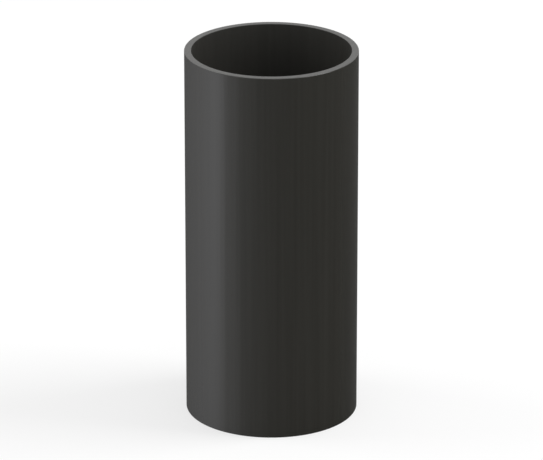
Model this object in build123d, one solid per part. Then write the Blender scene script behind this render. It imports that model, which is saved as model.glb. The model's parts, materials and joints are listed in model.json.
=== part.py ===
from build123d import *
import os

# A short length of round rainwater downpipe in rigid plastic, standing on one of its ends.
# The wall is extruded as one plain ring, so it has no seam, socket, rib or collar.
# Both ends are sawn square, and the four sharp edges that the saw leaves are lightly rounded.
# Millimetres, +Z up along the pipe. The origin is on the axis, in the plane of the lower end.

# Driving dimensions
outside_diameter = 75.0
wall_thickness = 3.0
pipe_length = 165.0
outer_edge_round = 0.25
bore_edge_round = 0.2

# Sizes that follow from them
outside_radius = outside_diameter / 2
bore_radius = outside_radius - wall_thickness


def extruded_wall():
    """The pipe as it leaves the die and the saw: a ring section drawn straight up, with sharp ends."""
    ring = Circle(outside_radius) - Circle(bore_radius)
    return extrude(ring, pipe_length)


def sawn_edges(pipe, radius):
    """The two circles of that radius where the saw cut the pipe, one at each end."""
    return pipe.edges().filter_by(GeomType.CIRCLE).filter_by(lambda edge: abs(edge.radius - radius) < 1e-6)


def make_downpipe():
    """The finished length: the extruded wall with the sharp edges taken off both ends, outside and in."""
    pipe = extruded_wall()
    pipe = fillet(sawn_edges(pipe, outside_radius), outer_edge_round)
    return fillet(sawn_edges(pipe, bore_radius), bore_edge_round)


os.makedirs("parts", exist_ok=True)
downpipe = make_downpipe()
downpipe.label = "downpipe"
export_step(downpipe, "parts/downpipe.step")
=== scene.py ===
import bpy
import json
from math import cos, pi, radians, sin
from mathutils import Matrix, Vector


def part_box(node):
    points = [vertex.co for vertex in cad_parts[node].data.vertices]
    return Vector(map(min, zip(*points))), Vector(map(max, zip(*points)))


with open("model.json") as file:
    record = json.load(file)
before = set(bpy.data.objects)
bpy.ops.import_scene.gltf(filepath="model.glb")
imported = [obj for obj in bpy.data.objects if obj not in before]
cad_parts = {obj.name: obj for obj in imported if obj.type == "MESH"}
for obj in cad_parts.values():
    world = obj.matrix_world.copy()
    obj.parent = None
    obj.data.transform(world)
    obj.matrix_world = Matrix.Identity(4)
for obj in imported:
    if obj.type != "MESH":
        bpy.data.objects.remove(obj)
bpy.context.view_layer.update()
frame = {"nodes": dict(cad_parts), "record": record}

# The pipe is one wall of dark grey rigid plastic, extruded round and even, with no seam, socket or rib.
# The cooling sleeve leaves a satin skin outside, the bore that no sleeve touches is duller, and the die
# draws faint lines along both. The saw leaves the ends matt and paler, and their edges are rubbed round.
pipe = frame["nodes"]["downpipe"]
foot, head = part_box("downpipe")
pipe_length = head.z - foot.z
outside_radius = (head.x - foot.x) / 2
mounts = {mount["name"]: mount for mount in frame["record"]["mounts"]}
bore_radius = mounts["bore"]["dims"]["r_mm"] / 1000
PIPE_AXIS = (0, 0)

SKIN_COLOUR = (0.0295, 0.0285, 0.0248, 1)
SKIN_SHADE = 0.09
OUTSIDE_ROUGHNESS = 0.19
BORE_ROUGHNESS = 0.50
SKIN_ROUGHNESS_SPREAD = 0.04
DIE_LINE_WIDTH = 0.0018
DIE_LINE_STRETCH = 80
DIE_LINE_DETAIL = 3.0
GRAIN_WIDTH = 0.0006
GRAIN_DETAIL = 2.0
GRAIN_SHARE = 0.08
SKIN_DEPTH = 0.00005

SAWN_COLOUR = (0.061, 0.060, 0.057, 1)
SAWN_SHADE = 0.22
SAWN_ROUGHNESS = 0.46
SAWN_ROUGHNESS_SPREAD = 0.10
BLADE_CENTRE = (-0.115, 0.060)
TOOTH_MARK_WIDTH = 0.0013
TOOTH_MARK_DETAIL = 3.0
CRUMB_WIDTH = 0.0003
CRUMB_DETAIL = 3.0
CRUMB_RAGGEDNESS = 0.65
CRUMB_SHARE = 0.35
SAWN_DEPTH = 0.00005

# The skin gives way to the sawn finish between these two distances from the end.
EDGE_BLEND_FROM = 0.00025
EDGE_BLEND_TO = 0.00005

# Almost all of a noise pattern lies between these two levels.
PATTERN_LOW = 0.25
PATTERN_HIGH = 0.75


def add_node(tree, kind, inputs=None, **settings):
    """A shader node with its settings, and each input set to a value or linked from another node."""
    node = tree.nodes.new(kind)
    for name, value in settings.items():
        setattr(node, name, value)
    for name, value in (inputs or {}).items():
        if isinstance(value, bpy.types.NodeSocket):
            tree.links.new(value, node.inputs[name])
        else:
            node.inputs[name].default_value = value
    return node


def add_math(tree, operation, first, second=0.0):
    """One sum on one or two numbers or sockets."""
    return add_node(tree, "ShaderNodeMath", {0: first, 1: second}, operation=operation).outputs[0]


def add_range(tree, value, low, high, to_low=0.0, to_high=1.0, ease="LINEAR"):
    """The value carried from one range to another, and held at its ends."""
    inputs = {"Value": value, "From Min": low, "From Max": high, "To Min": to_low, "To Max": to_high}
    return add_node(tree, "ShaderNodeMapRange", inputs, interpolation_type=ease).outputs["Result"]


def mix_numbers(tree, share, first, second):
    """The first number, with that share of the second in it. Mix's numbers are its sockets 2 and 3."""
    return add_node(tree, "ShaderNodeMix", {0: share, 2: first, 3: second}, data_type="FLOAT").outputs[0]


def mix_colours(tree, share, first, second, blend_type="MIX"):
    """The first colour, with that share of the second in it. Mix's colours are its sockets 6 and 7."""
    inputs = {0: share, 6: first, 7: second}
    return add_node(tree, "ShaderNodeMix", inputs, data_type="RGBA", blend_type=blend_type).outputs[2]


def add_patches(tree, place, width, detail, roughness=0.5):
    """Soft random patches, about width metres across."""
    inputs = {"Vector": place, "Scale": 1 / width, "Detail": detail, "Roughness": roughness}
    return add_node(tree, "ShaderNodeTexNoise", inputs).outputs["Fac"]


def spread_by(tree, pattern, middle, half_spread):
    """A number that follows a pattern, to half_spread below and above its middle."""
    lowest, highest = middle - half_spread, middle + half_spread
    return add_range(tree, pattern, PATTERN_LOW, PATTERN_HIGH, lowest, highest)


def shade_by(tree, pattern, colour, shade):
    """A colour that follows a pattern, darker and lighter by that share."""
    level = spread_by(tree, pattern, 1.0, shade)
    grey = add_node(tree, "ShaderNodeCombineColor", {"Red": level, "Green": level, "Blue": level}).outputs[0]
    return mix_colours(tree, 1.0, colour, grey, "MULTIPLY")


def distance_across(tree, place, centre):
    """How far a place lies from a centre, seen along the pipe."""
    across = add_node(tree, "ShaderNodeVectorMath", {0: place, 1: (1, 1, 0)}, operation="MULTIPLY").outputs[0]
    inputs = {0: across, 1: (*centre, 0)}
    return add_node(tree, "ShaderNodeVectorMath", inputs, operation="DISTANCE").outputs["Value"]


def extruded_skin(tree, place):
    """Colour, roughness and height of the walls: lines drawn out along the pipe, over a fine grain."""
    drawn_out = add_node(tree, "ShaderNodeMapping", {"Vector": place, "Scale": (1, 1, 1 / DIE_LINE_STRETCH)})
    die_lines = add_patches(tree, drawn_out.outputs[0], DIE_LINE_WIDTH, DIE_LINE_DETAIL)
    grain = add_patches(tree, place, GRAIN_WIDTH, GRAIN_DETAIL)

    from_axis = distance_across(tree, place, PIPE_AXIS)
    middle = add_range(tree, from_axis, bore_radius, outside_radius, BORE_ROUGHNESS, OUTSIDE_ROUGHNESS)
    unevenness = spread_by(tree, die_lines, 0.0, SKIN_ROUGHNESS_SPREAD / 2)

    colour = shade_by(tree, die_lines, SKIN_COLOUR, SKIN_SHADE)
    roughness = add_math(tree, "ADD", middle, unevenness)
    height = add_math(tree, "MULTIPLY", mix_numbers(tree, GRAIN_SHARE, die_lines, grain), SKIN_DEPTH)
    return colour, roughness, height


def sawn_end(tree, place):
    """Colour, roughness and height of the ends: uneven arcs round the blade's centre, and torn crumbs."""
    from_blade = distance_across(tree, place, BLADE_CENTRE)
    inputs = {"W": from_blade, "Scale": 1 / TOOTH_MARK_WIDTH, "Detail": TOOTH_MARK_DETAIL}
    arcs = add_node(tree, "ShaderNodeTexNoise", inputs, noise_dimensions="1D").outputs["Fac"]
    crumbs = add_patches(tree, place, CRUMB_WIDTH, CRUMB_DETAIL, CRUMB_RAGGEDNESS)
    marks = mix_numbers(tree, CRUMB_SHARE, arcs, crumbs)

    colour = shade_by(tree, marks, SAWN_COLOUR, SAWN_SHADE)
    roughness = spread_by(tree, crumbs, SAWN_ROUGHNESS, SAWN_ROUGHNESS_SPREAD / 2)
    height = add_math(tree, "MULTIPLY", marks, SAWN_DEPTH)
    return colour, roughness, height


def dark_grey_plastic():
    """The skin on the walls and the sawn finish on the ends, blended over the rounded edges between them."""
    material = bpy.data.materials.new("dark_grey_plastic")
    material.use_nodes = True
    tree = material.node_tree
    surface = tree.nodes["Principled BSDF"]
    place = add_node(tree, "ShaderNodeTexCoord").outputs["Object"]
    skin_colour, skin_roughness, skin_height = extruded_skin(tree, place)
    sawn_colour, sawn_roughness, sawn_height = sawn_end(tree, place)

    height = add_node(tree, "ShaderNodeSeparateXYZ", {0: place}).outputs["Z"]
    from_middle = add_math(tree, "ABSOLUTE", add_math(tree, "SUBTRACT", height, foot.z + pipe_length / 2))
    from_end = add_math(tree, "SUBTRACT", pipe_length / 2, from_middle)
    sawn = add_range(tree, from_end, EDGE_BLEND_TO, EDGE_BLEND_FROM, 1.0, 0.0)

    tree.links.new(mix_colours(tree, sawn, skin_colour, sawn_colour), surface.inputs["Base Color"])
    tree.links.new(mix_numbers(tree, sawn, skin_roughness, sawn_roughness), surface.inputs["Roughness"])
    relief_in_metres = mix_numbers(tree, sawn, skin_height, sawn_height)
    bump = add_node(tree, "ShaderNodeBump", {"Height": relief_in_metres, "Distance": 1.0})
    tree.links.new(bump.outputs["Normal"], surface.inputs["Normal"])
    return material


pipe.material_slots[0].material = dark_grey_plastic()

# The floor is white paper, wide enough to be all that shows behind the pipe, and it takes the pipe's shadow.
# The pipe in the photo doesn't mirror the white round its foot, so the floor is kept out of its gloss.
WHITE = (1, 1, 1, 1)
PAPER_COLOUR = (0.95, 0.95, 0.95, 1)
PAPER_BLEACH = 0.6
FLOOR_WIDTH = 24.0


def is_seen(tree):
    """1 where it is looked at, straight, in gloss or through glass, and 0 where it lights a surface."""
    ray = add_node(tree, "ShaderNodeLightPath").outputs
    indirect = add_math(tree, "MAXIMUM", ray["Is Glossy Ray"], ray["Is Transmission Ray"])
    return add_math(tree, "MAXIMUM", ray["Is Camera Ray"], indirect)


def white_paper():
    """Matt white that takes a shadow, bleached part of the way to plain white where it is seen."""
    material = bpy.data.materials.new("white_paper")
    material.use_nodes = True
    tree = material.node_tree
    paper = tree.nodes["Principled BSDF"]
    paper.inputs["Base Color"].default_value = PAPER_COLOUR
    paper.inputs["Roughness"].default_value = 1.0
    paper.inputs["Specular IOR Level"].default_value = 0.0
    plain = add_node(tree, "ShaderNodeEmission", {"Color": WHITE, "Strength": 1.0})
    bleach = add_math(tree, "MULTIPLY", is_seen(tree), PAPER_BLEACH)
    both = add_node(tree, "ShaderNodeMixShader", {0: bleach, 1: paper.outputs["BSDF"], 2: plain.outputs[0]})
    tree.links.new(both.outputs[0], tree.nodes["Material Output"].inputs["Surface"])
    return material


bpy.ops.mesh.primitive_plane_add(size=FLOOR_WIDTH, location=(0, 0, foot.z))
floor = bpy.context.object
floor.name = "floor"
floor.data.materials.append(white_paper())
floor.visible_glossy = False

# Two soft square lamps stand to the left and right of the pipe and look down on it.
# They light its sides, and each reaches the far side of the bore through the open end.
LAMP_DISTANCE = 1.8
LAMP_WIDTH = 0.8
LAMP_AIM = Vector((0, 0, foot.z + pipe_length / 2))


def add_lamp(name, left_turn, elevation, watts):
    """A soft lamp aimed at the pipe. left_turn is how far round it stands, to the left of the camera."""
    light = bpy.data.lights.new(name, "AREA")
    light.size = LAMP_WIDTH
    light.energy = watts
    lamp = bpy.data.objects.new(name, light)
    bpy.context.scene.collection.objects.link(lamp)
    away = Vector((-sin(left_turn) * cos(elevation), -cos(left_turn) * cos(elevation), sin(elevation)))
    lamp.location = LAMP_AIM + LAMP_DISTANCE * away
    lamp.rotation_euler = away.to_track_quat("Z", "Y").to_euler()
    lamp.visible_camera = False


add_lamp("left_lamp", left_turn=radians(100), elevation=radians(38), watts=7.0)
add_lamp("right_lamp", left_turn=radians(-92), elevation=radians(50), watts=16.0)

# The studio round them is an even white sky. Below the horizon it shows in the pipe's gloss alone, as a dark
# room with one lit panel on the left. The panel's near edge gives the long highlight its own, and the narrow
# lip before it draws a fine line beside the highlight.
SKY_FILL = 0.67

# Each height is a pair of levels, low and high: 0 is the horizon and -1 is straight down.
# A turn runs from the camera's side round to the left, and a share is a part of the panel's own light.
HORIZON = (-0.04, -0.02)
ROOM_LIGHT = 0.04
ROOM_HEIGHT = (-0.42, -0.30)
ROOM_LIGHT_BEHIND = 0.12
ROOM_BEHIND = (radians(90), radians(180))
PANEL_LIGHT = 1.55
PANEL_COLOUR = (0.98, 0.99, 1.04, 1)
PANEL_HEIGHT = (-0.45, -0.30)
PANEL_FOOT_SHARE = 0.80
PANEL_SPILL = (radians(-60), radians(58))
PANEL_SPILL_POWER = 3.0
PANEL_LIP_TURN = radians(50.6)
PANEL_LIP_HALF_WIDTH = radians(3)
PANEL_LIP_SHARE = 0.28
PANEL_EDGE_FROM = radians(58)
PANEL_EDGE_TO_AT_TOP = radians(68)
PANEL_EDGE_TO_AT_FOOT = radians(155)
PANEL_EDGE_POWER = 2.5
PANEL_EDGE_SHARE = 0.58
PANEL_FALL = (radians(80), radians(180))
PANEL_FALL_POWER = 2.2


def panel_light(tree, left_turn, up):
    """How bright the panel is that way: its soft spill, its lip, its near edge, and its fall to the back.

    The near edge is steep at the panel's top and runs out, faster and faster, towards its foot.
    """
    spill = add_math(tree, "POWER", add_range(tree, left_turn, *PANEL_SPILL), PANEL_SPILL_POWER)
    from_lip = add_math(tree, "ABSOLUTE", add_math(tree, "SUBTRACT", left_turn, PANEL_LIP_TURN))
    lip = add_range(tree, from_lip, 0.0, PANEL_LIP_HALF_WIDTH, PANEL_LIP_SHARE, 0.0)

    run_out = add_math(tree, "POWER", add_range(tree, up, *PANEL_HEIGHT, 1.0, 0.0), PANEL_EDGE_POWER)
    edge_to = mix_numbers(tree, run_out, PANEL_EDGE_TO_AT_TOP, PANEL_EDGE_TO_AT_FOOT)
    edge = add_range(tree, left_turn, PANEL_EDGE_FROM, edge_to, ease="SMOOTHSTEP")
    near_part = add_math(tree, "ADD", mix_numbers(tree, PANEL_EDGE_SHARE, spill, edge), lip)
    far_part = add_math(tree, "POWER", add_range(tree, left_turn, *PANEL_FALL, 1.0, 0.0), PANEL_FALL_POWER)
    level = add_range(tree, up, *PANEL_HEIGHT, PANEL_FOOT_SHARE * PANEL_LIGHT, PANEL_LIGHT)
    return add_math(tree, "MULTIPLY", level, add_math(tree, "MULTIPLY", near_part, far_part))


def white_studio():
    """The world: white where it is seen, a plain fill on the surfaces, and the room in the pipe's gloss."""
    world = bpy.data.worlds.new("white_studio")
    world.use_nodes = True
    tree = world.node_tree
    background = tree.nodes["Background"]
    background.inputs["Color"].default_value = WHITE
    way = add_node(tree, "ShaderNodeTexCoord").outputs["Generated"]
    right, back, up = add_node(tree, "ShaderNodeSeparateXYZ", {0: way}).outputs
    left = add_math(tree, "MULTIPLY", right, -1.0)
    front = add_math(tree, "MULTIPLY", back, -1.0)
    left_turn = add_math(tree, "ARCTAN2", left, front)

    in_gloss = add_node(tree, "ShaderNodeLightPath").outputs["Is Glossy Ray"]
    below = add_math(tree, "MULTIPLY", in_gloss, add_range(tree, up, *HORIZON, 1.0, 0.0))
    sky = mix_numbers(tree, is_seen(tree), SKY_FILL, 1.0)
    in_front = add_range(tree, up, *ROOM_HEIGHT, 0.0, ROOM_LIGHT)
    turn = add_math(tree, "ABSOLUTE", left_turn)
    room = add_range(tree, turn, *ROOM_BEHIND, in_front, ROOM_LIGHT_BEHIND)
    tree.links.new(mix_numbers(tree, below, sky, room), background.inputs["Strength"])

    strength = add_math(tree, "MULTIPLY", below, panel_light(tree, left_turn, up))
    panel = add_node(tree, "ShaderNodeBackground", {"Color": PANEL_COLOUR, "Strength": strength})
    both = add_node(tree, "ShaderNodeAddShader", {0: background.outputs[0], 1: panel.outputs[0]})
    tree.links.new(both.outputs[0], tree.nodes["World Output"].inputs["Surface"])
    return world


# The room is only there for a surface's own glossy ray, so the studio isn't sampled the way a lamp is.
bpy.context.scene.world = white_studio()
bpy.context.scene.world.cycles.sampling_method = "NONE"

# The camera stands well back and looks down on the pipe, at the photo's angle.
# Its distance, height, tilt and lens are those that best lay the pipe's outline over the photo's.
CAMERA_DISTANCE = 51.0 * outside_radius
CAMERA_HEIGHT = pipe_length + 17.604 * outside_radius
CAMERA_TILT = radians(21.231)
IMAGE_WIDTH = 543
FOCAL_LENGTH_IN_PIXELS = 4718

lens = bpy.data.cameras.new("camera")
camera = bpy.data.objects.new("camera", lens)
bpy.context.scene.collection.objects.link(camera)
lens.lens = FOCAL_LENGTH_IN_PIXELS / IMAGE_WIDTH * lens.sensor_width
camera.location = (0, -CAMERA_DISTANCE, foot.z + CAMERA_HEIGHT)
camera.rotation_euler = (pi / 2 - CAMERA_TILT, 0, 0)
bpy.context.scene.camera = camera
bpy.context.scene.view_settings.view_transform = "Standard"
